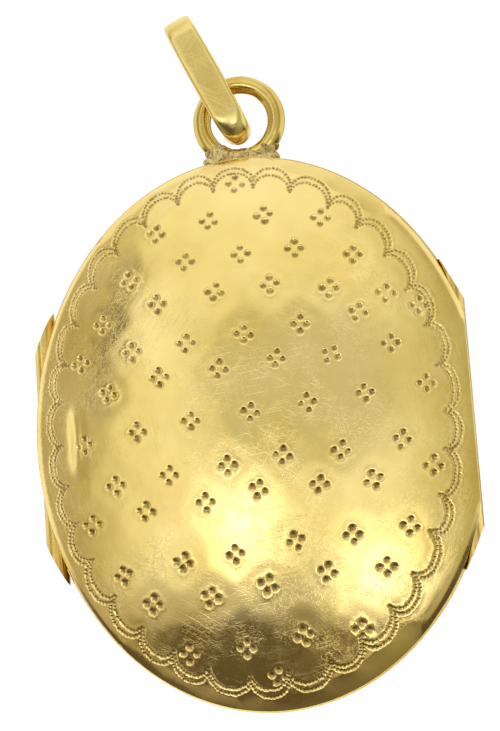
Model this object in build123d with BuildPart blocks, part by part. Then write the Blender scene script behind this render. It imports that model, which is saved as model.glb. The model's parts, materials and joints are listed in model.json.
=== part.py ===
from build123d import *
import math
import os

# An oval locket that hangs upright: +Z runs up the case towards the ring, the front cover faces -Y,
# and the hinge is on the +X side. The origin is at the middle of the box around it, at its foot.
# All sizes are in millimetres.

# The case. Every oval in it has the same ratio of height to width. The oval stands a little to the hinge
# side, where it is cut off for the hinge, so that the case with its hinge is nearly even about the middle.
overall_half_width = 14.2
oval_shift = 0.5
oval_half_width = overall_half_width + oval_shift
case_height = 35.8
case_middle = case_height / 2
oval_ratio = case_middle / oval_half_width

# The two domed shells, measured from the seam between the halves, which lies in the XZ plane.
dome_height = 3.5
rim_wall = 0.5
shoulder_radius = 0.65
shell_wall = 0.45
flange_step = 0.1
dome_radius = oval_half_width - flange_step

# The frames inside the rims, and the gap that is left between the closed halves.
half_gap = 0.04
flange_top = 0.3
frame_inner = 11.85
ledge_inner = 10.85
ledge_depth = 1.12

# The snap lip on the rear frame, and the rebate in the front frame that it enters.
lip_outer = 12.92
lip_inner = 12.5
lip_height = 0.33
rebate_inner = 13.0
rebate_depth = 0.4
lip_end_x = 9.0

# What each half holds: a glass, a photo card and a backing pad, kept in by a springy ring.
retainer_outer = 11.81
retainer_wall = 0.35
retainer_lip = 0.75
retainer_lip_thickness = 0.18
glass_thickness = 0.22
card_thickness = 0.12
side_clearance = 0.05

# The hinge: a tube along a chord of the oval, with its axis in the seam.
tube_radius = 0.75
pin_radius = 0.46
pin_clearance = 0.04
hinge_x = overall_half_width - tube_radius
half_tube = 9.9
pin_recess = 2.4
half_knuckle = 3.13
knuckle_gap = 0.06
swing_clearance = 0.09

# The front cover reaches out over the tube. The rear cover stops short of it, so that there is room behind
# the tube for the front cover's edge when the locket is open.
front_trim_x = 14.1
rear_trim_x = 13.1

# The bars on the opening side: half rounds that meet at the seam.
bar_radius = 0.7
bar_inset = 0.2
bar_x = overall_half_width - bar_inset - bar_radius
groove_chamfer = 0.16

# The ends of the tube and the bars are filed off along a slant, which starts at the outer edge.
tube_slant_z = 7.2
bar_slant_z = 5.7
slant_run_x = 1.0
slant_rise_z = 2.0

# The ring at the top and the strap loop that hangs in it.
ring_wire_radius = 0.6
ring_radius = 2.48
ring_x = oval_shift
ring_y = 0.8
ring_z = case_middle + 20.62
solder_half_width = 2.3
solder_height = 0.72
solder_half_depth = 0.74
bail_length = 9.6
bail_depth = 3.1
bail_bend_length = 2.1
# The strap hangs to one side of the ring's middle, by this much across its width.
bail_offset = 0.35
strap_thickness = 0.5
strap_width_foot = 1.75
strap_width_middle = 2.05
strap_width_top = 1.85
bail_drop = 1.4
bail_lean = -24

front = -1
rear = 1
trim_x = {front: front_trim_x, rear: rear_trim_x}

turning_plane = Plane(origin=(oval_shift, 0, oval_half_width), z_dir=(0, 0, 1))
turning_axis = Axis((oval_shift, 0, oval_half_width), (0, 1, 0))

# The crown of a dome is one large arc, which meets the shoulder's arc at the slope.
shoulder_x = dome_radius - shoulder_radius
rise = dome_height - rim_wall
crown_radius = (shoulder_x**2 + rise**2 - shoulder_radius**2) / (2 * (rise - shoulder_radius))
crown_y = dome_height - crown_radius
slope = math.asin(shoulder_x / (crown_radius - shoulder_radius))


def on_crown(side, inset, turn):
    """A point on the crown's arc, inset below the outer face, at an angle from the pole."""
    crown = crown_radius - inset
    return (crown * math.sin(turn), side * (crown_y + crown * math.cos(turn)))


def on_shoulder(side, inset, turn):
    """A point on the shoulder's arc, inset below the outer face, at an angle from the rim."""
    shoulder = shoulder_radius - inset
    return (shoulder_x + shoulder * math.cos(turn), side * (rim_wall + shoulder * math.sin(turn)))


def dome_profile(side, inset, foot):
    """Half section of a domed solid. Its faces lie inset below the shell's outer face."""
    waist = on_shoulder(side, inset, 0)
    bulge = on_shoulder(side, inset, (math.pi / 2 - slope) / 2)
    join = on_crown(side, inset, slope)
    brow = on_crown(side, inset, slope / 2)
    pole = on_crown(side, inset, 0)
    with BuildSketch(turning_plane) as profile:
        with BuildLine():
            Line((0, side * foot), (waist[0], side * foot))
            Line((waist[0], side * foot), waist)
            ThreePointArc(waist, bulge, join)
            ThreePointArc(join, brow, pole)
            Line(pole, (0, side * foot))
        make_face()
    return profile.sketch


def frame_profile(side):
    """Half section of a frame: a flange at the seam, a band inside the shell, and a ledge."""
    waist = on_shoulder(side, shell_wall, 0)
    bulge = on_shoulder(side, shell_wall, (math.pi / 2 - slope) / 2)
    join = on_crown(side, shell_wall, slope)
    ledge_turn = math.asin(ledge_inner / (crown_radius - shell_wall))
    brow = on_crown(side, shell_wall, (slope + ledge_turn) / 2)
    ledge_back = on_crown(side, shell_wall, ledge_turn)
    with BuildSketch(turning_plane) as profile:
        with BuildLine():
            Polyline(
                ledge_back,
                (ledge_inner, side * ledge_depth),
                (frame_inner, side * ledge_depth),
                (frame_inner, side * half_gap),
                (oval_half_width, side * half_gap),
                (oval_half_width, side * flange_top),
                (waist[0], side * flange_top),
                waist,
            )
            ThreePointArc(waist, bulge, join)
            ThreePointArc(join, brow, ledge_back)
        make_face()
    return profile.sketch


def band_profile(inner, outer, low, high):
    """Half section of a flat oval ring, or of a disc when inner is nothing."""
    with BuildSketch(turning_plane) as profile:
        with BuildLine():
            Polyline((inner, low), (outer, low), (outer, high), (inner, high), close=True)
        make_face()
    return profile.sketch


def retainer_profile(side, low):
    """Half section of a retaining ring: a thin wall with a lip turned in over the glass."""
    lip_top = low + retainer_lip_thickness
    wall_top = lip_top + glass_thickness + 0.02
    inner = retainer_outer - retainer_wall
    with BuildSketch(turning_plane) as profile:
        with BuildLine():
            Polyline(
                (retainer_outer, side * low),
                (retainer_outer, side * wall_top),
                (inner, side * wall_top),
                (inner, side * lip_top),
                (inner - retainer_lip, side * lip_top),
                (inner - retainer_lip, side * low),
                close=True,
            )
        make_face()
    return profile.sketch


def cut_rod(x, radius, low, high):
    """Cut a round rod, parallel to Z, out of the piece that is being made."""
    with BuildSketch(Plane.XY.offset(case_middle + low)) as section:
        with Locations((x, 0)):
            Circle(radius)
    extrude(section.sketch, amount=high - low, mode=Mode.SUBTRACT)


def cut_block(x_low, x_high, half_depth):
    """Cut a square block, parallel to Z, out of the piece that is being made."""
    with BuildSketch(Plane.XY.offset(case_middle - half_tube)) as section:
        with Locations(((x_low + x_high) / 2, 0)):
            Rectangle(x_high - x_low, 2 * half_depth)
    extrude(section.sketch, amount=2 * half_tube, mode=Mode.SUBTRACT)


def cut_side_seats(side):
    """Cut the seats for the hinge tube and the bar, with swing room round the other half's knuckles."""
    cut_rod(hinge_x, tube_radius, -half_tube, half_tube)
    other_knuckles = {
        rear: [(-half_knuckle - knuckle_gap, half_knuckle + knuckle_gap)],
        front: [(half_knuckle, half_tube), (-half_tube, -half_knuckle)],
    }
    for low, high in other_knuckles[side]:
        cut_rod(hinge_x, tube_radius + swing_clearance, low, high)
    cut_block(trim_x[side], oval_half_width + 1, dome_height + 1)
    cut_rod(-bar_x, bar_radius, -half_tube, half_tube)
    cut_block(-oval_half_width - 1, -bar_x, bar_radius)


def file_slants(x_side, slant_z):
    """File both ends of the piece that is being made along the slant, on the given side."""
    for up in (1, -1):
        foot = (x_side * overall_half_width, 0, case_middle + up * slant_z)
        outward = (x_side * slant_rise_z, 0, up * slant_run_x)
        split(bisect_by=Plane(origin=foot, z_dir=outward), keep=Keep.BOTTOM)


def make_knuckle(low, high, bore):
    """A length of the hinge tube between two heights, measured from the case's middle."""
    with BuildPart() as knuckle:
        with BuildSketch(Plane.XY.offset(case_middle + low)):
            with Locations((hinge_x, 0)):
                Circle(tube_radius)
                Circle(bore, mode=Mode.SUBTRACT)
        extrude(amount=high - low)
        file_slants(1, tube_slant_z)
    return knuckle.part


def make_bar(side):
    """Half of a round bar on the opening side, with a chamfer along its edge at the seam."""
    with BuildPart() as bar:
        with BuildSketch(Plane.XY.offset(case_middle - half_tube)):
            with Locations((-bar_x, 0)):
                Circle(bar_radius)
            with Locations((-bar_x, side * (half_gap - bar_radius))):
                Rectangle(2 * bar_radius, 2 * bar_radius, mode=Mode.SUBTRACT)
        extrude(amount=2 * half_tube)
        outer_edge = bar.edges().filter_by(Axis.Z).sort_by(Axis.X)[0]
        chamfer(outer_edge, groove_chamfer)
        file_slants(-1, bar_slant_z)
    return bar.part


def make_shell(side):
    """A domed shell, turned round and then stretched into the oval."""
    with BuildPart() as shell:
        revolve(dome_profile(side, 0, flange_top), axis=turning_axis)
        revolve(dome_profile(side, shell_wall, flange_top), axis=turning_axis, mode=Mode.SUBTRACT)
        scale(by=(1, 1, oval_ratio))
        cut_side_seats(side)
    return shell.part


def make_disc(outer, low, high):
    """A flat oval sheet between two depths."""
    with BuildPart() as disc:
        revolve(band_profile(0, outer, min(low, high), max(low, high)), axis=turning_axis)
        scale(by=(1, 1, oval_ratio))
    return disc.part


def make_retainer(side, low):
    """A springy oval ring that keeps the glass and the card in."""
    with BuildPart() as ring:
        revolve(retainer_profile(side, low), axis=turning_axis)
        scale(by=(1, 1, oval_ratio))
    return ring.part


# ---- Frames ----
with BuildPart() as rear_frame:
    revolve(frame_profile(rear), axis=turning_axis)
    revolve(band_profile(lip_inner, lip_outer, -lip_height, half_gap + 0.2), axis=turning_axis)
    scale(by=(1, 1, oval_ratio))
    with BuildSketch(Plane.XY):
        with Locations((lip_end_x + oval_half_width / 2, -oval_half_width / 2)):
            Rectangle(oval_half_width, oval_half_width)
    extrude(amount=case_height, mode=Mode.SUBTRACT)
    cut_side_seats(rear)

with BuildPart() as front_frame:
    revolve(frame_profile(front), axis=turning_axis)
    revolve(band_profile(0, rebate_inner, -rebate_depth, 0), axis=turning_axis, mode=Mode.SUBTRACT)
    scale(by=(1, 1, oval_ratio))
    cut_side_seats(front)

# ---- Hinge pin ----
with BuildPart() as hinge_pin:
    with BuildSketch(Plane.XY.offset(case_middle - half_tube + pin_recess)):
        with Locations((hinge_x, 0)):
            Circle(pin_radius)
    extrude(amount=2 * (half_tube - pin_recess))

pieces = {
    "rear_cover": make_shell(rear),
    "rear_frame": rear_frame.part,
    "front_cover": make_shell(front),
    "front_frame": front_frame.part,
    "hinge_pin": hinge_pin.part,
    "upper_hinge_knuckle": make_knuckle(half_knuckle + knuckle_gap, half_tube, pin_radius),
    "lower_hinge_knuckle": make_knuckle(-half_tube, -half_knuckle - knuckle_gap, pin_radius),
    "middle_hinge_knuckle": make_knuckle(-half_knuckle, half_knuckle, pin_radius + pin_clearance),
    "thumb_bar": make_bar(front),
    "rear_bar": make_bar(rear),
}

# ---- What each half holds: the stack runs from the seam down to the frame's ledge ----
stack_starts = {"rear": (rear, 0.12), "front": (front, rebate_depth + 0.02)}
for half_name, (side, start) in stack_starts.items():
    glass_low = start + retainer_lip_thickness
    card_low = glass_low + glass_thickness + 0.02
    pad_low = card_low + card_thickness
    pad_high = ledge_depth
    glass_outer = retainer_outer - retainer_wall - side_clearance
    pieces[half_name + "_retaining_ring"] = make_retainer(side, start)
    pieces[half_name + "_glass"] = make_disc(glass_outer, side * glass_low, side * (glass_low + glass_thickness))
    pieces[half_name + "_photo_card"] = make_disc(retainer_outer, side * card_low, side * pad_low)
    pieces[half_name + "_backing_pad"] = make_disc(retainer_outer, side * pad_low, side * pad_high)

# ---- Ring at the top ----
with BuildPart() as pendant_ring:
    with BuildSketch(Plane.XY.offset(ring_z)):
        with Locations((ring_x + ring_radius, ring_y)):
            Circle(ring_wire_radius)
    revolve(axis=Axis((ring_x, 0, ring_z), (0, 1, 0)))
    add(pieces["rear_cover"], mode=Mode.SUBTRACT)
    add(pieces["rear_frame"], mode=Mode.SUBTRACT)

with BuildPart() as ring_solder:
    with BuildSketch(Plane.XZ.offset(-ring_y - solder_half_depth)):
        with Locations((ring_x, case_height)):
            Ellipse(solder_half_width, solder_height)
    extrude(amount=2 * solder_half_depth)
    add(pieces["rear_cover"], mode=Mode.SUBTRACT)
    add(pieces["rear_frame"], mode=Mode.SUBTRACT)
    add(pendant_ring.part, mode=Mode.SUBTRACT)

pieces["pendant_ring"] = pendant_ring.part
pieces["ring_solder"] = ring_solder.part

# ---- Bail: a flat strap bent into a closed loop, which leans on the ring ----
lean = math.radians(bail_lean)
bail_up = (math.sin(lean), 0, math.cos(lean))
bail_across = (math.cos(lean), 0, -math.sin(lean))
bail_start = (ring_x - bail_offset * bail_across[0], ring_y, ring_z - bail_offset * bail_across[2])
bail_side_plane = Plane(origin=bail_start, x_dir=bail_up, z_dir=bail_across)
bail_face_plane = Plane(origin=bail_start, x_dir=bail_across, z_dir=(0, -1, 0))
loop_middle = bail_length / 2 - bail_drop
loop_top = bail_length - bail_drop


def draw_loop(inset, mode):
    """The loop seen from the side: a long bend at the foot, straight sides and a round top."""
    half_depth = bail_depth / 2 - inset
    foot_u = bail_bend_length - bail_drop
    top_u = loop_top - bail_depth / 2
    with Locations((foot_u, 0)):
        Ellipse(bail_bend_length - inset, half_depth, mode=mode)
    with Locations((top_u, 0)):
        Circle(half_depth, mode=mode)
    with Locations(((foot_u + top_u) / 2, 0)):
        Rectangle(top_u - foot_u, 2 * half_depth, mode=mode)


with BuildPart() as bail:
    with BuildSketch(bail_side_plane.offset(-strap_width_middle)):
        draw_loop(0, Mode.ADD)
        draw_loop(strap_thickness, Mode.SUBTRACT)
    extrude(amount=2 * strap_width_middle)
    with BuildSketch(bail_face_plane.offset(-bail_depth)):
        with BuildLine():
            right_foot = (strap_width_foot / 2, -bail_drop - 0.01)
            right_top = (strap_width_top / 2, loop_top + 0.01)
            left_foot = (-right_foot[0], right_foot[1])
            left_top = (-right_top[0], right_top[1])
            Line(left_foot, right_foot)
            ThreePointArc(right_foot, (strap_width_middle / 2, loop_middle), right_top)
            Line(right_top, left_top)
            ThreePointArc(left_top, (-strap_width_middle / 2, loop_middle), left_foot)
        make_face()
    extrude(amount=2 * bail_depth, mode=Mode.INTERSECT)

pieces["bail"] = bail.part

# ---- One file for each piece ----
os.makedirs("parts", exist_ok=True)
for piece_name, piece in pieces.items():
    piece.label = piece_name
    export_step(piece, f"parts/{piece_name}.step")
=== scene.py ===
# %% [markdown]
# # An oval gold locket
# The locket hangs upright. Its front cover faces -Y, the hinge is on the +X side, and a ring and a strap
# bail stand on top. The solid model comes from the frame and says where every piece is. This file gives
# the pieces their worn gold, presses the hand-punched pattern into the front cover, and lights the piece.

# %% Load the frame
import json
import math
import random

import bmesh
import bpy
from mathutils import Matrix, Vector, noise
from mathutils.geometry import delaunay_2d_cdt
from mathutils.kdtree import KDTree


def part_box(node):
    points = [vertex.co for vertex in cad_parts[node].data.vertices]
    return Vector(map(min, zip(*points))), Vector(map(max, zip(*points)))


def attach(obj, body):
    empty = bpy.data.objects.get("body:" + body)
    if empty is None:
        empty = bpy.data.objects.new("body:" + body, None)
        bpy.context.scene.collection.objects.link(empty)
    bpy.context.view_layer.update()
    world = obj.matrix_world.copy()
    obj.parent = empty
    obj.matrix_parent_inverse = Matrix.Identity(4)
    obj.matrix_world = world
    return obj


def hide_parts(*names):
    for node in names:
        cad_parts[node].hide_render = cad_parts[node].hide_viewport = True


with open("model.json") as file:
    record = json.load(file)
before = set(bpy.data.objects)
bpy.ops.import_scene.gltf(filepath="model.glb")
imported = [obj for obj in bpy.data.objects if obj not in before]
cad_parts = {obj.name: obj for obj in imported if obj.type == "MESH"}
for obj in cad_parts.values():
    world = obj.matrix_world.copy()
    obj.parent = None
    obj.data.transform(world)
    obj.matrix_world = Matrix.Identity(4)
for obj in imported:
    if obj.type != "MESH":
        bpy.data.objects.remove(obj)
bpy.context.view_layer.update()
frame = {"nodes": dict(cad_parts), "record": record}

mm = 0.001

# %% [markdown]
# ## Three helpers
# Colours are easiest to choose as sRGB hex, but a shader works in linear light, so one function turns
# one into the other. Node trees are easiest to read when each node, its settings and its links are
# said in one call, so one function adds a node of any kind. Arithmetic is so common that it gets a
# short name of its own.

# %% Helpers
def srgb(code):
    """A colour written as sRGB hex, turned to the linear values that a shader needs."""
    parts = [int(code[i:i + 2], 16) / 255 for i in (1, 3, 5)]
    return [p / 12.92 if p <= 0.04045 else ((p + 0.055) / 1.055) ** 2.4 for p in parts] + [1.0]


def add(tree, kind, inputs=None, **settings):
    """Add a node. Settings are its properties; inputs are values, or sockets to link from."""
    node = tree.nodes.new(kind)
    for key, value in settings.items():
        setattr(node, key, value)
    for key, value in (inputs or {}).items():
        if isinstance(value, bpy.types.NodeSocket):
            tree.links.new(value, node.inputs[key])
        else:
            node.inputs[key].default_value = value
    return node


def math_node(tree, operation, first, second=0.0):
    """One step of arithmetic."""
    return add(tree, "ShaderNodeMath", {0: first, 1: second}, operation=operation).outputs[0]


print("mid grey, #808080, in linear light:", round(srgb("#808080")[0], 3))

# %% [markdown]
# ## Where the case is
# Each half of the case is a round dome that was stretched into an oval. Its section is a large arc over
# the crown and a small one at the shoulder. The oval stands slightly to the hinge side. The frame gives
# its middle and its height, and the few sizes below are those that the goldsmith would set out.

# %% The case's sizes
case_low, case_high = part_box("front_frame")
middle_z = (case_low.z + case_high.z) / 2
oval_shift = 0.5 * mm
oval_half_width = 14.7 * mm
stretch = (case_high.z - case_low.z) / 2 / oval_half_width
dome_radius = oval_half_width - 0.1 * mm
dome_height = 3.5 * mm
rim_wall = 0.5 * mm
shoulder_radius = 0.65 * mm
shoulder_x = dome_radius - shoulder_radius
rise = dome_height - rim_wall
crown_radius = (shoulder_x ** 2 + rise ** 2 - shoulder_radius ** 2) / (2 * (rise - shoulder_radius))
slope = math.asin(shoulder_x / (crown_radius - shoulder_radius))
crown_length = crown_radius * slope
shoulder_length = shoulder_radius * (math.pi / 2 - slope)
print("stretch", round(stretch, 4), "crown radius in mm", round(crown_radius / mm, 1))

# %% On the dome and off it
def on_dome(a, b, side):
    """The dome's point at (a, b), measured along its surface from the pole, before the stretch."""
    along = math.hypot(a, b)
    if along <= crown_length:
        out = crown_radius * math.sin(along / crown_radius)
        deep = dome_height - crown_radius + crown_radius * math.cos(along / crown_radius)
    else:
        turn = math.pi / 2 - slope - (along - crown_length) / shoulder_radius
        out = shoulder_x + shoulder_radius * math.cos(turn)
        deep = rim_wall + shoulder_radius * math.sin(turn)
    scale = out / along if along else 1
    return Vector((oval_shift + a * scale, side * deep, middle_z + b * scale * stretch))


def off_dome(point, side):
    """How far a point is from the dome, and its (a, b) along the surface."""
    x, z, y = point.x - oval_shift, (point.z - middle_z) / stretch, side * point.y
    out = math.hypot(x, z)
    pole_y = dome_height - crown_radius
    turn = math.atan2(out, y - pole_y)
    if turn <= slope:
        gap = math.hypot(out, y - pole_y) - crown_radius
        along = crown_radius * turn
    else:
        shoulder_turn = math.atan2(y - rim_wall, out - shoulder_x)
        gap = math.hypot(y - rim_wall, out - shoulder_x) - shoulder_radius
        along = crown_length + shoulder_radius * (math.pi / 2 - slope - shoulder_turn)
    scale = along / out if out else 1
    return gap, x * scale, z * scale


print("the front's pole in mm:", [round(v / mm, 2) for v in on_dome(0, 0, -1)])

# %% [markdown]
# ## The camera
# A long lens stands a little to the hinge side and a little below the middle of the case, and is
# turned slightly so that the locket's top leans to the left. A long lens keeps the oval true.

# %% Camera
view_turn, view_rise, view_roll = math.radians(8), math.radians(-8), math.radians(4.3)
frame_height = 46.95 * mm
aim_left, aim_up = 0.2 * mm, 4.22 * mm
camera_data = bpy.data.cameras.new("camera")
camera_data.lens = 100
camera_data.clip_start = 5 * mm
camera = bpy.data.objects.new("camera", camera_data)
bpy.context.collection.objects.link(camera)
bpy.context.scene.camera = camera
level = math.cos(view_rise)
back = Vector((math.sin(view_turn) * level, -math.cos(view_turn) * level, math.sin(view_rise)))
level_right = Vector((math.cos(view_turn), math.sin(view_turn), 0))
level_up = back.cross(level_right)
right = level_right * math.cos(view_roll) - level_up * math.sin(view_roll)
up = level_up * math.cos(view_roll) + level_right * math.sin(view_roll)
target = Vector((0, 0, middle_z)) - right * aim_left + up * aim_up
stand = target + back * frame_height * camera_data.lens / camera_data.sensor_width
camera.matrix_world = Matrix([[right[i], up[i], back[i], stand[i]] for i in range(3)] + [[0, 0, 0, 1]])
print("camera distance in mm:", round((stand - target).length / mm))

# %% [markdown]
# ## The punched pattern
# The front cover was decorated by hand with two punches. A fine one made two dotted lines side by side,
# which run round the oval as a border of scallops. A larger one made little flowers of four dots, set
# out in staggered rows. Nothing is quite even, because each dot is one blow of a hammer. So a short rule
# gives every dot its place along the dome, and a fixed seed moves each one a little.

# %% Places on the border
scallops = 34
cusp_out, lobe_out = 12.78 * mm, 13.6 * mm
border_x, border_z = -0.4 * mm, 0.08 * mm
border_wide, border_tall = 0.98, 1.025


def oval_angles(count):
    """Angles that divide the stretched oval's edge into equal lengths."""
    fine = 3600
    lengths = [0.0]
    for i in range(fine):
        t = 2 * math.pi * (i + 0.5) / fine
        lengths.append(lengths[-1] + math.hypot(math.sin(t), stretch * math.cos(t)))
    angles, j = [], 0
    for k in range(count):
        while lengths[j] < lengths[-1] * k / count:
            j += 1
        angles.append(2 * math.pi * j / fine)
    return angles


def to_surface(out, angle):
    """A place on the dome, along its surface, for a distance from the middle seen from the front."""
    along = crown_radius * math.asin(min(out / crown_radius, 1))
    return along * math.cos(angle), along * math.sin(angle)


def on_border(out, angle):
    """A place on the border, which the engraver set out a little off the dome's middle."""
    x = border_x + out * border_wide * math.cos(angle)
    z = border_z + out * border_tall * math.sin(angle)
    return to_surface(math.hypot(x, z), math.atan2(z, x))


draw = random.Random(36)
cusps = [angle + draw.uniform(-0.012, 0.012) for angle in oval_angles(scallops)]
cusps.append(cusps[0] + 2 * math.pi)
print("scallops:", scallops, "each about", round(360 / scallops, 1), "degrees")

# %% The border of scallops
line_gap = 0.33 * mm
dot_pitch = 0.235 * mm
fine_radius, fine_depth = 0.12 * mm, 0.06 * mm
steps_per_scallop = 40


def scalloped_line(inset):
    """One line of the border: arches between the cusps, each a little higher or lower."""
    route = []
    for k in range(scallops):
        lobe = lobe_out + draw.uniform(-0.06, 0.06) * mm
        for step in range(steps_per_scallop):
            f = step / steps_per_scallop
            bow = (1 - abs(2 * f - 1) ** 2.3) ** 0.62
            out = cusp_out + (lobe - cusp_out) * bow - inset
            route.append(on_border(out, cusps[k] + (cusps[k + 1] - cusps[k]) * f))
    return route


marks = []
for line_inset in (0, line_gap):
    route = scalloped_line(line_inset)
    travelled, spacing = 0.0, dot_pitch
    for (a, b), (c, d) in zip(route, route[1:] + route[:1]):
        length = math.hypot(c - a, (d - b) * stretch)
        while travelled + length >= spacing:
            f = (spacing - travelled) / length
            wander = [draw.gauss(0, 0.012) * mm for _ in range(2)]
            size = draw.uniform(0.82, 1.12)
            spot = (a + (c - a) * f + wander[0], b + (d - b) * f + wander[1])
            marks.append((*spot, fine_radius * size, fine_depth * size))
            spacing += dot_pitch * draw.uniform(0.88, 1.12)
        travelled += length
print("dots in the border:", len(marks))

# %% Where the flowers stand
flower_pitch_mm = 3.66
row_heights_mm = (15.95, 13.7, 11.2, 8.8, 6.0, 3.8, 0.85, -2.3, -4.3, -7.8, -10.0, -13.5, -15.6)
row_tilt, row_bow, row_drift = 0.08, 0.019, 0.012
flower_limit = 12.75 * mm
flowers = []
for row, height_mm in enumerate(row_heights_mm):
    start = 0 if row % 2 == 0 else 0.5
    bowed = min(max((height_mm - 6) / 4, 0), 1)
    for column in range(-4, 5):
        x_mm = (column + start) * flower_pitch_mm - 0.05 - row_drift * height_mm + draw.gauss(0, 0.12)
        lean = (1 - bowed) * row_tilt * x_mm - bowed * row_bow * x_mm ** 2
        x, z = x_mm * mm, (height_mm + lean + draw.gauss(0, 0.12)) * mm
        out = math.hypot((x - border_x) / border_wide, (z / stretch - border_z) / border_tall)
        if out < flower_limit:
            flowers.append((x, z, draw.gauss(-0.1, 0.16)))
print("flowers:", len(flowers))

# %% The four dots of each flower
petal_out = 0.43 * mm
petal_radius, petal_depth = 0.26 * mm, 0.115 * mm
for x, z, turn in flowers:
    for petal in range(4):
        angle = turn + petal * math.pi / 2 + draw.gauss(0, 0.08)
        reach = petal_out * draw.uniform(0.9, 1.12)
        px, pz = x + reach * math.cos(angle), (z + reach * math.sin(angle)) / stretch
        a, b = to_surface(math.hypot(px, pz), math.atan2(pz, px))
        size = draw.uniform(0.85, 1.1)
        marks.append((a, b, petal_radius * size, petal_depth * size * draw.uniform(0.7, 1.1)))
print("marks in all:", len(marks))

# %% [markdown]
# ## The two shells
# A polished dome shows every facet as a broken reflection, so the solid model's shells are replaced. The
# rim and the inside are kept from a copy of the solid. The outer face is taken off and skinned again with
# points on the true dome, few where it is plain and many round each mark. A hand-raised dome is never
# perfect, so a slow swell of a few hundredths of a millimetre bends the reflections.

# %% The dome's unevenness
swell_height, swell_size = 0.022 * mm, 6.5 * mm
dent_x, dent_z, dent_half_width, dent_half_length, dent_depth = (v * mm for v in (-11.2, 0.2, 0.4, 2.0, 0.12))


def swell(point, side):
    """The dome's own unevenness, and on the front the long dent that a knock left near the opening edge."""
    depth = swell_height * noise.noise(point / swell_size + Vector((0, side * 9.0, 0)))
    if side < 0:
        across = (point.x - dent_x) / dent_half_width
        along = (point.z - middle_z - dent_z) / dent_half_length
        depth -= dent_depth * math.exp(-across ** 2 - along ** 4)
    return Vector((0, side * depth, 0))


def near_the_dent(a, b, side):
    """Whether a place on the dome is in the dent or beside it."""
    across, along = abs(a + oval_shift - dent_x), abs(b * stretch - dent_z)
    return side < 0 and across < 3 * dent_half_width and along < 1.8 * dent_half_length


dent_point = Vector((dent_x, 0, middle_z + dent_z))
print("how far the dent's middle goes in, in mm:", round(swell(dent_point, -1).y / mm, 3))

# %% Points along the dome
petal_rings = ((0.35, 6), (0.65, 9), (0.9, 12), (1.15, 12), (1.6, 12))
dot_rings = ((0.6, 6), (1.1, 8), (1.9, 8))
between_punches = 0.15 * mm      # petals are larger than this, and border dots smaller
dent_spacing = 0.14 * mm
clear_of_marks = 0.3 * mm
row_step = 0.866                 # how far apart the rows of an even lattice are


def ring_points(holes, tree):
    """A point in the middle of each mark, and rings round it that follow its slope."""
    points = [(a, b) for a, b, _, _ in holes]
    for a, b, radius, _ in holes:
        for part, count in petal_rings if radius > between_punches else dot_rings:
            for k in range(count):
                angle = 2 * math.pi * (k + part) / count
                c = a + part * radius * math.cos(angle)
                d = b + part * radius * math.sin(angle) / stretch
                if part < 1 or tree.find((c, d * stretch, 0))[2] > 0.9 * part * radius:
                    points.append((c, d))
    return points


def skin_points(side, spacing, holes):
    """Points along the dome: rings round each mark, and an even lattice that is finer at the dent."""
    limit = crown_length + shoulder_length
    tree = KDTree(max(len(holes), 1))
    for i, (a, b, _, _) in enumerate(holes):
        tree.insert((a, b * stretch, 0), i)
    tree.balance()
    points = ring_points(holes, tree)
    for step, near_dent in ((spacing, False), (dent_spacing, True)):
        rows = int(limit / step) + 1
        for row in range(-rows, rows + 1):
            for column in range(-rows, rows + 1):
                a, b = (column + 0.5 * (row % 2)) * step, row * step * row_step / stretch
                if math.hypot(a, b) > limit - 0.3 * step or near_the_dent(a, b, side) != near_dent:
                    continue
                if holes and tree.find((a, b * stretch, 0))[2] < clear_of_marks:
                    continue
                points.append((a, b))
    return points


print("rings round a petal:", len(petal_rings), "and round a border dot:", len(dot_rings))

# %% The edge that the outer face leaves
def rim_loop(source):
    """The open edge of a mesh, as a loop of points."""
    rim = [e for e in source.edges if len(e.link_faces) == 1]
    start = rim[0].verts[0]
    loop, edge = [start], rim[0]
    while True:
        vert = edge.other_vert(loop[-1])
        if vert == start:
            break
        loop.append(vert)
        edge = next(e for e in vert.link_edges if len(e.link_faces) == 1 and e != edge)
    print("edges at the rim:", len(rim), "points in its loop:", len(loop))
    return loop


def to_plain_mesh(source, name):
    """Turn a bmesh into a mesh, without the solid's own normals, which don't fit the merged points."""
    mesh = bpy.data.meshes.new(name)
    source.to_mesh(mesh)
    source.free()
    mesh.attributes.remove(mesh.attributes["custom_normal"])
    return mesh


# %% Skin a shell
merge_within = 0.002 * mm
outer_within = 0.03 * mm
# Degrees from which an edge is sharp: between two old faces, an old and a new one, and two new ones.
sharp_from = {0: 35, 1: 16, 2: 181}


def take_off_outer_face(node, side):
    """A copy of a shell from the frame, with its points merged and its outer face taken off."""
    source = bmesh.new()
    source.from_mesh(frame["nodes"][node].data)
    bmesh.ops.remove_doubles(source, verts=source.verts, dist=merge_within)
    outer = [f for f in source.faces if all(abs(off_dome(v.co, side)[0]) < outer_within for v in f.verts)]
    bmesh.ops.delete(source, geom=outer, context="FACES")
    print(node, "faces taken off:", len(outer))
    return source


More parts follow.
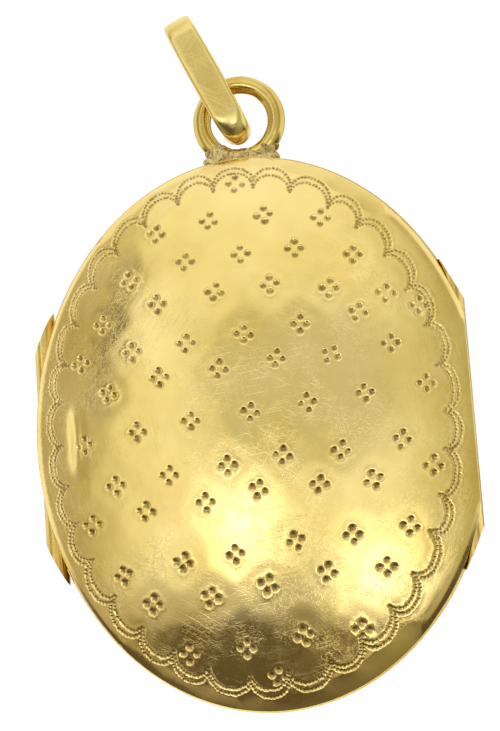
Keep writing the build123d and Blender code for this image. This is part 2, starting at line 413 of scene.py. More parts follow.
def skin(source, side, spacing, holes):
    """Close the outer face with triangles between the rim's points and new points on the dome."""
    loop = rim_loop(source)
    border = [off_dome(v.co, side)[1:] for v in loop]
    places = border + skin_points(side, spacing, holes)
    flat = [Vector((a, b * stretch)) / mm for a, b in places]
    verts, _, faces, origins, _, _ = delaunay_2d_cdt(flat, [], [list(range(len(border)))], 1, 1e-6)
    made = []
    for flat_point, from_points in zip(verts, origins):
        first = min(from_points) if from_points else len(border)
        if first < len(border):
            made.append(loop[first])
            continue
        point = on_dome(flat_point.x * mm, flat_point.y * mm / stretch, side)
        made.append(source.verts.new(point + swell(point, side)))
    corners = [[made[i] for i in face] for face in faces]
    skinned = {source.faces.new(three) for three in corners if len(set(three)) == 3}
    beyond = [v for v in source.verts if not v.link_faces]
    bmesh.ops.delete(source, geom=beyond, context="VERTS")
    bmesh.ops.recalc_face_normals(source, faces=source.faces)
    return skinned


def make_shell(node, side, spacing, holes):
    """A shell from the frame whose outer face is skinned again, smooth except at its real edges."""
    source = take_off_outer_face(node, side)
    skinned = skin(source, side, spacing, holes)
    for edge in source.edges:
        new_faces = sum(face in skinned for face in edge.link_faces)
        edge.smooth = edge.calc_face_angle(0) < math.radians(sharp_from[new_faces])
    for face in source.faces:
        face.smooth = True
    open_edges = sum(1 for e in source.edges if len(e.link_faces) != 2)
    print(node, "triangles:", sum(len(f.verts) - 2 for f in source.faces), "open edges:", open_edges)
    piece = bpy.data.objects.new(node + "_skinned", to_plain_mesh(source, node + "_skinned"))
    bpy.context.collection.objects.link(piece)
    return piece


# %% The two skinned shells
front_shell = make_shell("front_cover", -1, 0.34 * mm, marks)
rear_shell = make_shell("rear_cover", 1, 0.55 * mm, [])

# %% [markdown]
# ## Pressing the marks
# A Geometry Nodes tree presses the pattern into the front shell. A second small mesh holds one point for
# each blow of the punch, with its radius and depth. Every point of the shell finds the nearest blow, and
# a curve, the profile of the punch, says how far it goes down, with a low burr thrown up round the edge.
# The tree also writes how deep each point was pressed, so that the finish can darken the hollows.

# %% The blows
blow_mesh = bpy.data.meshes.new("blows")
blow_mesh.from_pydata([on_dome(a, b, -1) for a, b, _, _ in marks], [], [])
for name, column in (("radius", 2), ("depth", 3)):
    layer = blow_mesh.attributes.new(name, "FLOAT", "POINT")
    layer.data.foreach_set("value", [mark[column] for mark in marks])
blows = bpy.data.objects.new("blows", blow_mesh)
bpy.context.collection.objects.link(blows)
print("blows:", len(blow_mesh.vertices))

# %% A tree with named inputs
def open_tree(name, **inputs):
    """A Geometry Nodes tree with a geometry that goes through it and named inputs of the kinds given."""
    tree = bpy.data.node_groups.new(name, "GeometryNodeTree")
    for label, kind in {"Geometry": "Geometry", **inputs}.items():
        tree.interface.new_socket(label, in_out="INPUT", socket_type="NodeSocket" + kind)
    tree.interface.new_socket("Geometry", in_out="OUTPUT", socket_type="NodeSocketGeometry")
    return tree, add(tree, "NodeGroupInput").outputs


press, given = open_tree("press_punch_marks", Blows="Object", Strength="Float", Metal="Material")
print("inputs of the pressing tree:", [s.name for s in press.interface.items_tree if s.in_out == "INPUT"])

# %% The nearest blow
blow_points = add(press, "GeometryNodeObjectInfo", {"Object": given["Blows"]}).outputs["Geometry"]
here = add(press, "GeometryNodeInputPosition").outputs[0]
search = {"Geometry": blow_points, "Sample Position": here}
nearest = add(press, "GeometryNodeSampleNearest", search, domain="POINT").outputs[0]


def of_nearest(field, data_type="FLOAT"):
    """The value that the nearest blow has."""
    inputs = {"Geometry": blow_points, "Value": field, "Index": nearest}
    return add(press, "GeometryNodeSampleIndex", inputs, data_type=data_type).outputs[0]


def written(tree, name):
    """A number that the mesh carries on its points."""
    return add(tree, "GeometryNodeInputNamedAttribute", {"Name": name}, data_type="FLOAT").outputs[0]


radius = of_nearest(written(press, "radius"))
depth = of_nearest(written(press, "depth"))
centre = of_nearest(here, "FLOAT_VECTOR")
apart = add(press, "ShaderNodeVectorMath", {0: here, 1: centre}, operation="DISTANCE").outputs["Value"]
reach = math_node(press, "DIVIDE", apart, math_node(press, "MULTIPLY", radius, 2.0))
print("nodes that find the blow:", len(press.nodes))

# %% The punch's profile
rest_level = 0.84
profile_points = ((0.2, 0.08), (0.36, 0.45), (0.47, 0.82), (0.55, 0.92), (0.66, 0.88), (0.8, rest_level))
punch = add(press, "ShaderNodeFloatCurve", {"Value": reach})
profile = punch.mapping.curves[0]
profile.points[0].location = (0.0, 0.0)
profile.points[1].location = (1.0, rest_level)
for x, y in profile_points:
    profile.points.new(x, y)
punch.mapping.update()
print("points on the punch's profile:", len(profile.points))

# %% Pushing the metal in
drop = math_node(press, "SUBTRACT", punch.outputs[0], rest_level)
normal = add(press, "GeometryNodeInputNormal").outputs[0]
push = math_node(press, "MULTIPLY", math_node(press, "MULTIPLY", drop, depth), given["Strength"])
offset = add(press, "ShaderNodeVectorMath", {0: normal, "Scale": push}, operation="SCALE").outputs[0]
note = {"Geometry": given["Geometry"], "Name": "pressed", "Value": math_node(press, "MULTIPLY", drop, -1.0)}
shell = add(press, "GeometryNodeStoreNamedAttribute", note, data_type="FLOAT", domain="POINT").outputs[0]
shell = add(press, "GeometryNodeSetPosition", {"Geometry": shell, "Offset": offset}).outputs[0]
shell = add(press, "GeometryNodeRealizeInstances", {"Geometry": shell}).outputs[0]
shell = add(press, "GeometryNodeSetMaterial", {"Geometry": shell, "Material": given["Metal"]}).outputs[0]
add(press, "NodeGroupOutput", {"Geometry": shell})
print("nodes in the pressing tree:", len(press.nodes))

# %% Running a tree on a piece
def apply_tree(piece, tree, inputs):
    """Run a tree on a piece, keep the result as its plain mesh, and take the modifier off."""
    modifier = piece.modifiers.new(tree.name, "NODES")
    modifier.node_group = tree
    sockets = {s.name: s.identifier for s in tree.interface.items_tree if s.in_out == "INPUT"}
    for name, value in inputs.items():
        modifier[sockets[name]] = value
    graph = bpy.context.evaluated_depsgraph_get()
    mesh = bpy.data.meshes.new_from_object(piece.evaluated_get(graph))
    piece.modifiers.remove(modifier)
    piece.data = mesh
    print(piece.name, "points after", tree.name, len(mesh.vertices))


# %% [markdown]
# ## Gold
# Old yellow gold is polished metal with years of fine scratches. Two close golds drift over it where the
# polish is thinner, the scratches run every way and are painted paler where they catch the light, a
# painted glint, and the punched hollows are darkened brown. One function makes every gold here, so that
# each part of the locket can be a little brighter or duller.

# %% Mixing, stretching and noise
def blend(tree, amount, first, second):
    """Mix two colours."""
    return add(tree, "ShaderNodeMix", {0: amount, 6: first, 7: second}, data_type="RGBA").outputs[2]


def spread(tree, value, low, high, to_low=0.0, to_high=1.0):
    """Stretch a range of values to another range, and stop at its ends."""
    sockets = {"Value": value, "From Min": low, "From Max": high, "To Min": to_low, "To Max": to_high}
    return add(tree, "ShaderNodeMapRange", sockets).outputs[0]


def cloud(tree, place, size, detail=3.0, roughness=0.5):
    """Soft noise whose blotches are about `size` across."""
    sockets = {"Vector": place, "Scale": 1 / size, "Detail": detail, "Roughness": roughness}
    return add(tree, "ShaderNodeTexNoise", sockets).outputs["Fac"]


def hairlines(tree, place, turn, width, length, rarity):
    """Straight fine scratches in one direction, some way apart."""
    turned = add(tree, "ShaderNodeMapping", {"Vector": place, "Rotation": (0, math.radians(turn), 0)})
    stretching = {"Vector": turned.outputs[0], "Scale": (1 / width, 1 / width, 1 / length)}
    drawn = add(tree, "ShaderNodeMapping", stretching).outputs[0]
    lines = add(tree, "ShaderNodeTexNoise", {"Vector": drawn, "Scale": 1.0, "Detail": 1.0}).outputs["Fac"]
    return spread(tree, lines, rarity, rarity + 0.08)


# %% Scratches
# Real hairlines on polished gold are a few hundredths of a millimetre wide at most. They are drawn
# about 0.05 mm wide, which is as coarse as they have to be to show.
first_hairlines = (12, 0.05, 4.5)     # turn in degrees, width and length in mm
more_hairlines = ((58, 0.06, 3.2), (-37, 0.045, 5.0), (96, 0.05, 3.8))


def scratches(tree, place):
    """Hairlines in four directions, thick in some patches and almost gone in others."""
    turn, width, length = first_hairlines
    lines = hairlines(tree, place, turn, width * mm, length * mm, 0.62)
    for turn, width, length in more_hairlines:
        more = hairlines(tree, place, turn, width * mm, length * mm, 0.63)
        lines = math_node(tree, "MAXIMUM", lines, more)
    patches = spread(tree, cloud(tree, place, 2.2 * mm), 0.42, 0.6, 0.25)
    return math_node(tree, "MULTIPLY", lines, patches)


print("directions of scratches:", 1 + len(more_hairlines))

# %% Worn gold
def worn_gold(name, light, dark, roughness, wear_and_glint=1.0, darkened_hollows=False):
    """Yellow gold alloy, polished and then rubbed by years of wear: hairline scratches, dull patches, and
    scratches painted paler as a painted glint.
    """
    metal = bpy.data.materials.new(name)
    metal.use_nodes = True
    tree = metal.node_tree
    shader = tree.nodes["Principled BSDF"]
    shader.inputs["Metallic"].default_value = 1.0
    place = add(tree, "ShaderNodeTexCoord").outputs["Object"]
    drift = spread(tree, cloud(tree, place, 5 * mm), 0.38, 0.66)
    colour = blend(tree, drift, srgb(light), srgb(dark))
    lines = scratches(tree, place)
    rubbed = spread(tree, cloud(tree, place, 0.9 * mm, detail=5.0), 0.4, 0.7, 0.0, 0.07 * wear_and_glint)
    rough = math_node(tree, "ADD", rubbed, math_node(tree, "MULTIPLY", lines, 0.12 * wear_and_glint))
    rough = math_node(tree, "ADD", rough, roughness)
    # Painted glint: the scratches are painted paler, as if they caught the light.
    colour = blend(tree, math_node(tree, "MULTIPLY", lines, 0.18 * wear_and_glint), colour, srgb("#FFF0C0"))
    if darkened_hollows:
        # The punched hollows are darkened brown, more where they were pressed deeper, in patches.
        pressed = add(tree, "ShaderNodeAttribute", attribute_name="pressed").outputs["Fac"]
        patchy = spread(tree, cloud(tree, place, 0.6 * mm), 0.3, 0.6, 0.4, 0.8)
        hollow_darkening = math_node(tree, "MULTIPLY", spread(tree, pressed, 0.1, 0.75), patchy)
        colour = blend(tree, hollow_darkening, colour, srgb("#6E4C1E"))
        rough = math_node(tree, "ADD", rough, math_node(tree, "MULTIPLY", hollow_darkening, 0.25))
    tree.links.new(colour, shader.inputs["Base Color"])
    tree.links.new(rough, shader.inputs["Roughness"])
    relief = {"Height": lines, "Strength": 0.35 * wear_and_glint, "Distance": 0.006 * mm}
    bump = add(tree, "ShaderNodeBump", relief, invert=True)
    tree.links.new(bump.outputs[0], shader.inputs["Normal"])
    return metal


# %% The golds of the locket
golds = {
    # The front was burnished after punching: the brightest gold, with its punched marks darkened brown.
    "front_shell_gold": worn_gold("worn_polished_gold_punched", "#FBE193", "#F0D27B", 0.1, darkened_hollows=True),
    # The back rubbed on cloth for years: the same gold, a little duller and more scratched.
    "rear_shell_gold": worn_gold("worn_polished_gold_plain", "#F8DD8A", "#EACB70", 0.12, wear_and_glint=1.3),
    # The frames were brushed and then shut away: satin, with hardly a scratch.
    "frame_gold": worn_gold("brushed_gold_frame", "#F2D680", "#E2C068", 0.2, wear_and_glint=0.8),
    # The knuckles are drawn tube: bright along their length, and darker from handling.
    "hinge_gold": worn_gold("drawn_gold_tube", "#EFD078", "#D9B45A", 0.14, wear_and_glint=1.2),
    # The bars take every thumbnail: the most rubbed of all.
    "bar_gold": worn_gold("half_round_gold_wire", "#EFD078", "#D6AE54", 0.16, wear_and_glint=1.3),
    # The ring is hard round wire: it keeps its polish.
    "ring_gold": worn_gold("round_gold_wire", "#EAD07A", "#D2B258", 0.13, wear_and_glint=0.7),
    # The strap was rolled flat and polished by the chain: a soft satin.
    "bail_gold": worn_gold("satin_gold_strap", "#F6DE8E", "#E8CA74", 0.16, wear_and_glint=0.9),
}
print("golds:", sorted(golds))

# %% [markdown]
# ## Which body and slot each piece has
# The frame's record says which body carries each node and which material slot it fills. A made piece
# rides on the body of the node that it stands in for, and a copied piece takes its finish by its node's slot.

# %% Standing in for a node
body_of = {node: body for body, nodes in frame["record"]["behaviour"]["bodies"].items() for node in nodes}
slot_of = {part["node"]: part["material_slot"] for part in frame["record"]["subparts"]}


def stand_in(piece, node):
    """Let a made piece ride on its node's body and be shown in its place, with the node hidden."""
    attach(piece, body_of[node])
    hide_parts(node)


def link(name, mesh, material=None):
    """Put a mesh into the scene as a piece."""
    piece = bpy.data.objects.new(name, mesh)
    bpy.context.collection.objects.link(piece)
    if material:
        mesh.materials.append(material)
    return piece


print("bodies:", sorted(set(body_of.values())), "slots:", len(set(slot_of.values())))

# %% The two shells get their finish
apply_tree(front_shell, press, {"Blows": blows, "Strength": 1.0, "Metal": golds["front_shell_gold"]})
bpy.data.objects.remove(blows)
rear_shell.data.materials.append(golds["rear_shell_gold"])
stand_in(front_shell, "front_cover")
stand_in(rear_shell, "rear_cover")
print("finishes:", [shell.data.materials[0].name for shell in (front_shell, rear_shell)])

# %% [markdown]
# ## The bail
# The bail is a flat strap, forged a little domed, bent round into a closed loop and soldered. Its edges
# are rounded by wear, it is widest in the middle, and its bend at the foot is long, because it was drawn
# round the ring's wire. It is swept here from a rounded section along the loop's own line, so that its
# width and its dome can change on the way.

# %% Sweeping a section along a closed path
def sweep(name, path, section):
    """Sweep closed sections along a closed path. `path` gives frames, `section` gives points at a step."""
    mesh = bmesh.new()
    rings = []
    for step, (middle, outward, across) in enumerate(path):
        rings.append([mesh.verts.new(middle + across * s + outward * q) for s, q in section(step)])
    count = len(rings[0])
    for first, second in zip(rings, rings[1:] + rings[:1]):
        for k in range(count):
            mesh.faces.new((first[k], first[(k + 1) % count], second[(k + 1) % count], second[k]))
    bmesh.ops.recalc_face_normals(mesh, faces=mesh.faces)
    result = bpy.data.meshes.new(name)
    mesh.to_mesh(result)
    mesh.free()
    result.shade_smooth()
    print(name, "faces:", len(result.polygons))
    return result


# %% The bail's sizes
swing = next(j for j in frame["record"]["behaviour"]["joints"] if j["name"] == "bail_swing")
ring_middle = Vector(swing["pos_m"])
bail_lean, bail_offset = math.radians(-24), 0.45 * mm
bail_length, bail_drop, bail_depth, bail_bend = 9.6 * mm, 1.4 * mm, 3.1 * mm, 2.1 * mm
strap, strap_foot, strap_middle, strap_top = 0.5 * mm, 1.75 * mm, 2.05 * mm, 1.85 * mm
bail_up = Vector((math.sin(bail_lean), 0, math.cos(bail_lean)))
bail_across = Vector((math.cos(bail_lean), 0, -math.sin(bail_lean)))
bail_start = ring_middle - bail_across * bail_offset
foot_u, top_u = bail_bend - bail_drop, bail_length - bail_drop - bail_depth / 2
print("straight part of the bail in mm:", round((top_u - foot_u) / mm, 2))

# %% The loop's line
def loop_line(inset, count=64):
    """The loop's line seen from the side, with its outward direction."""
    line = []
    foot_r, half = bail_bend - inset, bail_depth / 2 - inset
    for k in range(count):
        t = math.pi * (k + 0.5) / count
        down, over = math.sin(t), math.cos(t)
        line.append((foot_u - foot_r * down, half * over, -down / foot_r, over / half))
    for k in range(count):
        line.append((foot_u + (top_u - foot_u) * (k + 0.5) / count, -half, 0, -1))
    for k in range(count):
        t = math.pi * (k + 0.5) / count
        line.append((top_u + half * math.sin(t), -half * math.cos(t), math.sin(t), -math.cos(t)))
    for k in range(count):
        line.append((top_u - (top_u - foot_u) * (k + 0.5) / count, half, 0, 1))
    return line


bail_line = loop_line(strap / 2)
bail_path = []
for u, v, du, dv in bail_line:
    outward = (bail_up * du + Vector((0, 1, 0)) * dv).normalized()
    bail_path.append((bail_start + bail_up * u + Vector((0, v, 0)), outward, bail_across))
print("steps round the bail:", len(bail_path))

# %% The strap's section
def strap_width(u):
    """The strap's width: widest in the middle of its length, and rounded off at both ends."""
    f = (u + bail_drop) / bail_length
    bulge = 2 * strap_middle - (strap_foot + strap_top) / 2
    plain = (1 - f) ** 2 * strap_foot + 2 * f * (1 - f) * bulge + f ** 2 * strap_top
    into_foot = max(foot_u - u, 0) / bail_bend
    into_top = max(u - top_u, 0) / (bail_depth / 2)
    return plain * (1 - 0.62 * into_foot ** 5 - 0.2 * into_top ** 4)


def strap_section(step):
    """A rounded section whose outer face is slightly domed, and more so at the foot."""
    u = bail_line[step][0]
    half_width = strap_width(u) / 2
    foot = min(max(foot_u - u, 0) / bail_bend * 2, 1)
    dome = (0.05 + 0.22 * foot) * mm
    points = []
    for k in range(40):
        t = 2 * math.pi * (k + 0.5) / 40
        s = math.copysign(abs(math.cos(t)) ** (0.28 + 0.4 * foot), math.cos(t)) * half_width
        q = math.copysign(abs(math.sin(t)) ** 0.6, math.sin(t)) * strap / 2
        if q > 0:
            q += dome * (1 - (s / half_width) ** 2) * 0.6 - dome * 0.5
        wave = 0.012 * mm * noise.noise(Vector((step / 17, k / 9, 3)))
        points.append((s + wave, q + wave))
    return points


bail = link("bail_strap", sweep("bail_strap", bail_path, strap_section), golds["bail_gold"])
stand_in(bail, "bail")

# %% [markdown]
# ## The ring
# The ring is a length of round wire bent into a circle and soldered upright on the rear half. The wire
# was filed and worn, so that it is never quite round: a slow wobble bends its highlights.

# %% The ring
ring_radius, wire_radius = 2.48 * mm, 0.6 * mm
wire_worn, slow_wobble, quick_wobble = 0.02 * mm, 0.018 * mm, 0.01 * mm
ring_steps, wire_points = 180, 36
ring_path = []
for k in range(ring_steps):
    t = 2 * math.pi * k / ring_steps
    outward = Vector((math.cos(t), 0, math.sin(t)))
    ring_path.append((ring_middle + outward * ring_radius, outward, Vector((0, 1, 0))))


def wire_section(step):
    """A round section with a little wobble, closed on itself round the ring."""
    turn = 2 * math.pi * step / ring_steps
    points = []
    for k in range(wire_points):
        t = 2 * math.pi * k / wire_points
        spot = Vector((math.cos(turn) * 3, math.sin(turn) * 3, math.cos(t) * 0.6)) + Vector((0, 0, 5))
        wobble = slow_wobble * noise.noise(spot) + quick_wobble * noise.noise(spot * 3)
        r = wire_radius - wire_worn + wobble
        points.append((r * math.cos(t), r * math.sin(t)))
    return points


ring = link("ring_wire", sweep("ring_wire", ring_path, wire_section), golds["ring_gold"])
stand_in(ring, "pendant_ring")

# %% [markdown]
# ## The solder
# The ring's foot sits in a lump of solder that was never cleaned up: greyer than the gold, grainy and
# pitted. Drops of solder are set by script along the foot. Geometry Nodes melt them into one volume, skin
# it and press small pits into the skin.

# %% The solder's finish
def rough_solder():
    """Silver-grey solder over gold, cast as it ran: matt and grainy, with dark dirt in its pits."""
    metal = bpy.data.materials.new("pitted_grey_solder")
    metal.use_nodes = True
    tree = metal.node_tree
    shader = tree.nodes["Principled BSDF"]
    shader.inputs["Metallic"].default_value = 1.0
    place = add(tree, "ShaderNodeTexCoord").outputs["Object"]
    grain = cloud(tree, place, 0.18 * mm, detail=6.0, roughness=0.65)
    tones = spread(tree, cloud(tree, place, 0.9 * mm), 0.4, 0.6)
    colour = blend(tree, tones, srgb("#E2CC8E"), srgb("#BC9C5C"))
    colour = blend(tree, spread(tree, grain, 0.49, 0.37, 0.0, 0.85), colour, srgb("#5E4A26"))
    tree.links.new(colour, shader.inputs["Base Color"])
    tree.links.new(spread(tree, grain, 0.3, 0.7, 0.42, 0.2), shader.inputs["Roughness"])
    bump = add(tree, "ShaderNodeBump", {"Height": grain, "Strength": 0.5, "Distance": 0.02 * mm})
    tree.links.new(bump.outputs[0], shader.inputs["Normal"])
    return metal


solder_metal = rough_solder()
print("solder:", solder_metal.name)

# %% The drops of solder
# Each row of drops has a place forward or back, a rise above the case's edge and a size, all in mm.
drop_rows = ((0.0, 0.05, 0.52), (-0.28, 0.1, 0.44), (-0.24, 0.5, 0.45), (0.3, 0.15, 0.44))
drops_in_row, drops_on_wire = 64, 80
half_spread = 2.2 * mm
seam_clearance = 0.06 * mm
draw = random.Random(7)
drops = []
for row_y, row_rise, row_size in drop_rows:
    for k in range(drops_in_row):
        f = (k + 0.5) / (drops_in_row / 2) - 1
        x = ring_middle.x + half_spread * f + draw.uniform(-0.05, 0.05) * mm
        edge = middle_z + stretch * math.sqrt(dome_radius ** 2 - (x - oval_shift) ** 2)
        size = row_size * mm * (1 - 0.3 * f * f) * draw.uniform(0.96, 1.03)
        y = ring_middle.y + row_y * mm + draw.uniform(-0.02, 0.02) * mm
        z = edge + (row_rise * (1 - f * f) + 0.45 * abs(f) ** 3 + draw.uniform(-0.04, 0.04)) * mm
        drops.append((x, max(y, size + seam_clearance), z, size))
for k in range(drops_on_wire):
    t = math.radians(draw.uniform(224, 320))
    r = ring_radius + draw.uniform(-0.08, 0.3) * mm
    y = ring_middle.y + draw.uniform(-0.12, 0.12) * mm
    size = draw.uniform(0.46, 0.56) * mm
    drops.append((ring_middle.x + r * math.cos(t), y, ring_middle.z + r * math.sin(t), size))
drop_mesh = bpy.data.meshes.new("drops")
drop_mesh.from_pydata([spot[:3] for spot in drops], [], [])
layer = drop_mesh.attributes.new("size", "FLOAT", "POINT")
layer.data.foreach_set("value", [spot[3] for spot in drops])
print("drops of solder:", len(drops))

# %% Melting the drops together
melt, given = open_tree("melt_drops", Grain="Float", Pit="Float", Metal="Material")
size = written(melt, "size")
beads = add(melt, "GeometryNodeMeshToPoints", {"Mesh": given["Geometry"], "Radius": size}).outputs[0]
liquid = {"Points": beads, "Voxel Size": given["Grain"], "Radius": size}
mass = add(melt, "GeometryNodePointsToVolume", liquid, resolution_mode="VOXEL_SIZE").outputs[0]
surface = add(melt, "GeometryNodeVolumeToMesh", {"Volume": mass, "Threshold": 0.1}).outputs[0]
bumps = add(melt, "ShaderNodeTexNoise", {"Scale": 1 / (0.55 * mm), "Detail": 3.0}).outputs["Fac"]
lift = math_node(melt, "MULTIPLY", math_node(melt, "SUBTRACT", bumps, 0.55), given["Pit"])
outward = add(melt, "GeometryNodeInputNormal").outputs[0]
shift = add(melt, "ShaderNodeVectorMath", {0: outward, "Scale": lift}, operation="SCALE").outputs[0]
lump = add(melt, "GeometryNodeSetPosition", {"Geometry": surface, "Offset": shift}).outputs[0]
lump = add(melt, "GeometryNodeSetShadeSmooth", {0: lump}).outputs[0]
lump = add(melt, "GeometryNodeRealizeInstances", {"Geometry": lump}).outputs[0]
lump = add(melt, "GeometryNodeSetMaterial", {"Geometry": lump, "Material": given["Metal"]}).outputs[0]
add(melt, "NodeGroupOutput", {"Geometry": lump})
solder = link("solder_lump", drop_mesh)
apply_tree(solder, melt, {"Grain": 0.06 * mm, "Pit": 0.1 * mm, "Metal": solder_metal})
stand_in(solder, "ring_solder")

# %% [markdown]
# ## The glass and what lies under it
# Each half holds a thin glass over a card for a picture, with a pressed pad behind it. The cards are
# plain: aged paper with fibres, a few brown spots and a darker edge where the glass let in the air.

# %% Glass
def clear_glass():
    """Thin drawn glass: clear, with a little dust and a few scratches that blur what lies behind."""
    glass = bpy.data.materials.new("thin_clear_glass")
    glass.use_nodes = True
    tree = glass.node_tree
    shader = tree.nodes["Principled BSDF"]
    shader.inputs["Base Color"].default_value = srgb("#FAFBF9")
    shader.inputs["Transmission Weight"].default_value = 1.0
    shader.inputs["IOR"].default_value = 1.5
    place = add(tree, "ShaderNodeTexCoord").outputs["Object"]
    one_way = hairlines(tree, place, 35, 0.05 * mm, 6 * mm, 0.66)
    other_way = hairlines(tree, place, -50, 0.05 * mm, 5 * mm, 0.66)
    lines = math_node(tree, "MULTIPLY", math_node(tree, "MAXIMUM", one_way, other_way), 0.2)
    dust = spread(tree, cloud(tree, place, 1.2 * mm, detail=6.0), 0.55, 0.75, 0.0, 0.12)
    tree.links.new(math_node(tree, "ADD", dust, lines), shader.inputs["Roughness"])
    return glass


thin_glass = clear_glass()
print("glass:", thin_glass.name)

# %% Card and pad
card_half_width = 11.81 * mm


def paper(name, light, dark, spot, edge_dark):
    """Pressed paper fibre, aged: short fibres, brown spots, and a darker edge."""
    card = bpy.data.materials.new(name)
    card.use_nodes = True
    tree = card.node_tree
    shader = tree.nodes["Principled BSDF"]
    shader.inputs["Roughness"].default_value = 0.85
    place = add(tree, "ShaderNodeTexCoord").outputs["Object"]
    fibres = cloud(tree, place, 0.12 * mm, detail=6.0, roughness=0.7)
    colour = blend(tree, spread(tree, cloud(tree, place, 4 * mm), 0.35, 0.65), srgb(light), srgb(dark))
    colour = blend(tree, spread(tree, fibres, 0.45, 0.7, 0.0, 0.35), colour, srgb(dark))
    spots = spread(tree, cloud(tree, place, 1.6 * mm, detail=2.0), 0.64, 0.72, 0.0, 0.6)
    colour = blend(tree, spots, colour, srgb(spot))
    half_height = card_half_width * stretch
    from_middle = {
        "Vector": place,
        "Location": (-oval_shift / card_half_width, 0, -middle_z / half_height),
        "Scale": (1 / card_half_width, 0, 1 / half_height),
    }
    centred = add(tree, "ShaderNodeMapping", from_middle).outputs[0]
    out = add(tree, "ShaderNodeVectorMath", {0: centred}, operation="LENGTH").outputs["Value"]
    colour = blend(tree, spread(tree, out, 0.72, 0.98, 0.0, edge_dark), colour, srgb(spot))
    tree.links.new(colour, shader.inputs["Base Color"])
    bump = add(tree, "ShaderNodeBump", {"Height": fibres, "Strength": 0.5, "Distance": 0.02 * mm})
    tree.links.new(bump.outputs[0], shader.inputs["Normal"])
    return card


others = {
    "glass": thin_glass,
    # The card for a picture: smooth and cream, browned at its edge.
    "aged_card": paper("aged_photo_card", "#FFF0CC", "#F2DAA6", "#A87844", 0.5),
    # The pad behind it: coarse brown board.
    "backing_card": paper("pressed_backing_card", "#8E7350", "#705837", "#4A3620", 0.3),
}
print("other finishes:", sorted(others))

# %% [markdown]
# ## The rest of the pieces
# The frames, knuckles, pin, bars, retaining rings, glasses, cards and pads have the solid model's own
# shape. Each is copied, its doubled points are merged, and it is shaded smooth except at its real edges.

# %% Smooth copies
made_here = {"front_cover", "rear_cover", "bail", "pendant_ring", "ring_solder"}
for node, part in frame["nodes"].items():
    if node in made_here:
        continue
    source = bmesh.new()
    source.from_mesh(part.data)
    bmesh.ops.remove_doubles(source, verts=source.verts, dist=0.001 * mm)
    mesh = to_plain_mesh(source, node + "_smooth")
    mesh.materials.clear()
    piece = link(node + "_smooth", mesh, golds.get(slot_of[node]) or others[slot_of[node]])
    mesh.shade_smooth()
    mesh.set_sharp_from_angle(angle=math.radians(35))
    stand_in(piece, node)
print("pieces copied:", len(frame["nodes"]) - len(made_here))

# %% [markdown]
# ## The studio
# Polished metal is only as good as what it reflects, so the room is built out of soft light: white all
# round and above, dark below, grey cards to both sides and before the dome's middle, a narrow dark card
# to the left, and small lamps that make the highlights. The room is in the world's light, so that
# nothing stands between the viewer and the piece.

# %% The room of light
scene = bpy.context.scene
scene.view_settings.view_transform = "Standard"
world = bpy.data.worlds.new("studio")
scene.world = world
world.use_nodes = True
room = world.node_tree
toward = add(room, "ShaderNodeTexCoord").outputs["Generated"]


def along_axis(axis):
    """How far the direction goes along an axis."""
    return add(room, "ShaderNodeVectorMath", {0: toward, 1: axis}, operation="DOT_PRODUCT").outputs["Value"]


def lit(code, strength=1.0):
    """A light's colour, made stronger."""
    return [v * strength for v in srgb(code)[:3]]


high = along_axis((0, 0, 1))
light = blend(room, spread(room, high, -0.2, -0.36), srgb("#FFFFFF"), srgb("#5C5448"))
print("a white room over a dark floor band; nodes:", len(room.nodes))

# %% Hanging a card or a lamp
def hang(light, turn, lift, half_wide, half_high, tilt, soft, shade):
    """Hang a soft-edged card or lamp in the room: turn to the right, lift above level, sizes in degrees."""
    turn, lift, tilt = math.radians(turn), math.radians(lift), math.radians(tilt)
    out = Vector((math.sin(turn) * math.cos(lift), -math.cos(turn) * math.cos(lift), math.sin(lift)))
    across = Vector((math.cos(turn), math.sin(turn), 0))
    above = Vector((0, 0, 1)) - out * out.z
    above.normalize()
    side = across * math.cos(tilt) + above * math.sin(tilt)
    top = above * math.cos(tilt) - across * math.sin(tilt)
    x = math_node(room, "DIVIDE", along_axis(side), math.sin(math.radians(half_wide)))
    y = math_node(room, "DIVIDE", along_axis(top), math.sin(math.radians(half_high)))
    x3, y3 = (math_node(room, "POWER", math_node(room, "ABSOLUTE", v), 3.0) for v in (x, y))
    edge = math_node(room, "POWER", math_node(room, "ADD", x3, y3), 1 / 3)
    inside = spread(room, edge, 1.0 + soft, 1.0 - soft)
    ahead = spread(room, along_axis(out), 0.0, 0.05)
    return blend(room, math_node(room, "MULTIPLY", inside, ahead), light, [*shade, 1.0])


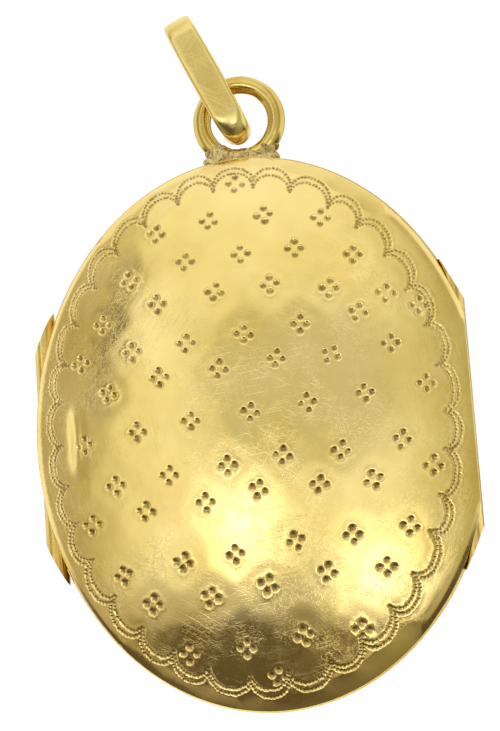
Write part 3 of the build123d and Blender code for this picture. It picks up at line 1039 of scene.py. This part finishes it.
# %% What hangs in the room
# Each line is a turn, a lift, half a width, half a height and a tilt in degrees, a softness and a colour.
cards_and_lamps = (
    (44, 5, 18, 50, 0, 0.35, lit("#BCB89C")),           # tall card on the hinge side
    (-54, 0, 15, 50, 0, 0.4, lit("#B8B09C")),           # tall card on the opening side
    (2, 12, 20, 12, 0, 0.2, lit("#CFCFC6")),            # wide card before the dome's middle
    (-37, 21, 2.4, 10, -12, 0.6, lit("#5E5E54")),       # narrow dark card
    (5, -20, 8, 2.5, 6, 0.6, lit("#C8C6BA")),           # low grey strip
    (-12, -8, 5, 4, 0, 0.8, lit("#FFFFFF", 3.0)),       # lamp for the middle highlight
    (15, -16, 6.5, 4, 10, 0.8, lit("#FFFFFF", 3.0)),    # lamp for the lower highlight
    (14, -31, 9, 3.5, 8, 0.7, lit("#DCD2B8")),          # warm light near the foot
    (150, 4, 9, 24, 8, 0.5, lit("#8E8C80")),            # grey card behind
    (-142, 12, 12, 16, -10, 0.5, lit("#B4B2A4")),       # pale card behind
)
for line in cards_and_lamps:
    light = hang(light, *line)
room.links.new(light, room.nodes["Background"].inputs["Color"])
room.nodes["Background"].inputs["Strength"].default_value = 1.05
print("cards and lamps:", len(cards_and_lamps))

# %% [markdown]
# ## The floor
# A round plaster slab lies a little below the locket, pale and matt, so that the soft shadow under the
# locket says where down is. The polished metal doesn't reflect it, because the room already gives the
# metal its dark underside.

# %% The floor
floor_radius, floor_z, floor_sides = 110 * mm, -8 * mm, 96
turns = [2 * math.pi * k / floor_sides for k in range(floor_sides)]
corners = [(floor_radius * math.cos(t), floor_radius * math.sin(t), floor_z) for t in turns]
floor_mesh = bpy.data.meshes.new("floor")
floor_mesh.from_pydata(corners, [], [range(floor_sides)])
plaster = bpy.data.materials.new("pale_matt_plaster")
plaster.use_nodes = True
tree = plaster.node_tree
place = add(tree, "ShaderNodeTexCoord").outputs["Object"]
pale = blend(tree, cloud(tree, place, 30 * mm), srgb("#F4F3F0"), srgb("#ECEAE5"))
tree.links.new(pale, tree.nodes["Principled BSDF"].inputs["Base Color"])
tree.nodes["Principled BSDF"].inputs["Roughness"].default_value = 0.9
floor = link("floor", floor_mesh, plaster)
floor.visible_glossy = False
print("floor radius in mm:", round(floor_radius / mm))
